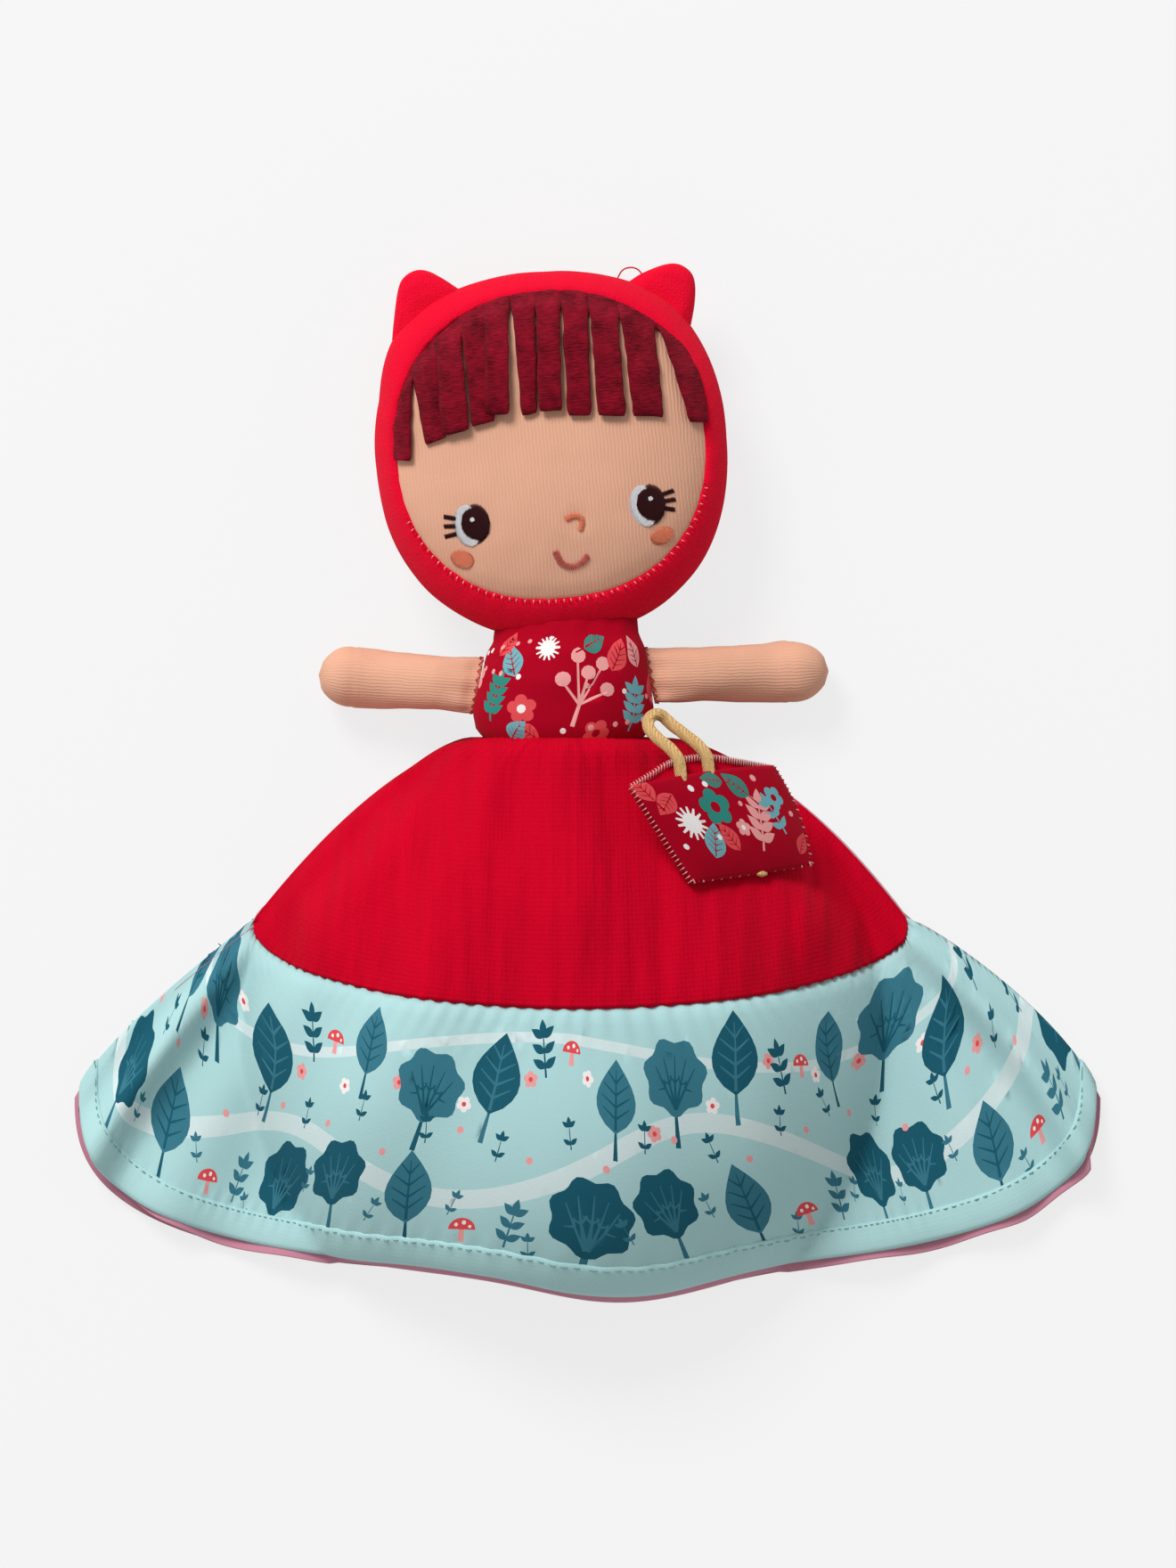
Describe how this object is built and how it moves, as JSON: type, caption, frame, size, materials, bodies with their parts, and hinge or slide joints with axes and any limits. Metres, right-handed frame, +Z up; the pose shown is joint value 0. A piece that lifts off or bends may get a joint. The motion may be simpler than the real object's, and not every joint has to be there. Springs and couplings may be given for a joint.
{
  "type": "topsy turvy doll",
  "caption": "Stuffed cloth reversible doll: a hooded rag doll whose lined skirt hides a second doll joined at the waist.",
  "frame": {"origin": "on the table, under the middle of the waist seam, on the underside of the skirt's back panel", "axes": "+Z up out of the table towards the faces, +Y from the waist to the hooded head, +X to the viewer's right when looking down with the hooded head at the top"},
  "size_m": [0.2649, 0.2686, 0.0539],
  "materials": {
    "hood_red": "soft bright red cotton",
    "skirt_red": "crinkled bright red double gauze",
    "skin_jersey": "fine ribbed peach jersey",
    "hair_fleece": "dark burgundy brushed fleece",
    "dark_thread": "dark embroidery thread",
    "coral_thread": "coral embroidery thread",
    "rose_thread": "dusty rose embroidery thread",
    "crimson_print": "dark crimson printed cotton",
    "border_print": "pale aqua printed cotton",
    "pink_lining": "dusty pink cotton",
    "tan_cord": "twisted tan cotton cord",
    "stuffing": "white polyester stuffing"
  },
  "bodies": {
    "root": {"body_filling": "stuffing", "bodice_front": "crimson_print", "bodice_back": "crimson_print", "second_bodice_front": "pink_lining", "second_bodice_back": "pink_lining", "skirt_top_front": "skirt_red", "skirt_top_back": "skirt_red", "border_front": "border_print", "border_back": "border_print", "lining_front": "pink_lining", "lining_back": "pink_lining"},
    "head": {"face_panel": "skin_jersey", "hood_front": "hood_red", "hood_back": "hood_red", "head_filling": "stuffing", "ear_left": "hood_red", "ear_right": "hood_red", "hair_fringe": "hair_fleece", "eye_left": "dark_thread", "eye_right": "dark_thread", "nose": "coral_thread", "mouth": "rose_thread", "cheek_left": "coral_thread", "cheek_right": "coral_thread"},
    "arm_left": {"arm_left": "skin_jersey", "arm_left_filling": "stuffing"},
    "arm_right": {"arm_right": "skin_jersey", "arm_right_filling": "stuffing"},
    "second_head": {"second_face_panel": "skin_jersey", "second_cap_front": "pink_lining", "second_cap_back": "pink_lining", "second_head_filling": "stuffing", "second_hair_fringe": "hair_fleece", "second_eye_left": "dark_thread", "second_eye_right": "dark_thread", "second_nose": "coral_thread", "second_mouth": "rose_thread", "second_cheek_left": "coral_thread", "second_cheek_right": "coral_thread"},
    "second_arm_left": {"second_arm_left": "skin_jersey", "second_arm_left_filling": "stuffing"},
    "second_arm_right": {"second_arm_right": "skin_jersey", "second_arm_right_filling": "stuffing"},
    "bag": {"bag_back": "skirt_red", "bag_front": "crimson_print", "bag_handle": "tan_cord"}
  },
  "joints": [
    {"name": "head_tilt", "type": "hinge", "parent": "root", "child": "head", "pos_m": [0.0009, 0.0304, 0.0205], "axis": [0, 0, 1], "range_deg": [-10, 2]},
    {"name": "arm_left_fold", "type": "hinge", "parent": "root", "child": "arm_left", "pos_m": [-0.02163, 0.015, 0.02098], "axis": [0.1754, 0.9845, 0], "range_deg": [0, 70]},
    {"name": "arm_right_fold", "type": "hinge", "parent": "root", "child": "arm_right", "pos_m": [0.02213, 0.0176, 0.02124], "axis": [0.1998, -0.9798, 0], "range_deg": [0, 70]},
    {"name": "second_head_tilt", "type": "hinge", "parent": "root", "child": "second_head", "pos_m": [0, -0.0304, 0.0227], "axis": [0, 0, 1], "range_deg": [-4, 4]},
    {"name": "second_arm_left_fold", "type": "hinge", "parent": "root", "child": "second_arm_left", "pos_m": [-0.0216, -0.0175, 0.02257], "axis": [-0.1989, 0.98, 0], "range_deg": [0, 5]},
    {"name": "second_arm_right_fold", "type": "hinge", "parent": "root", "child": "second_arm_right", "pos_m": [0.0216, -0.0175, 0.02257], "axis": [-0.1989, -0.98, 0], "range_deg": [0, 5]},
    {"name": "bag_swing", "type": "hinge", "parent": "root", "child": "bag", "pos_m": [0.02349, 0.00708, 0.03765], "axis": [-0.7934, -0.1115, 0.5984], "range_deg": [0, 45]}
  ]
}
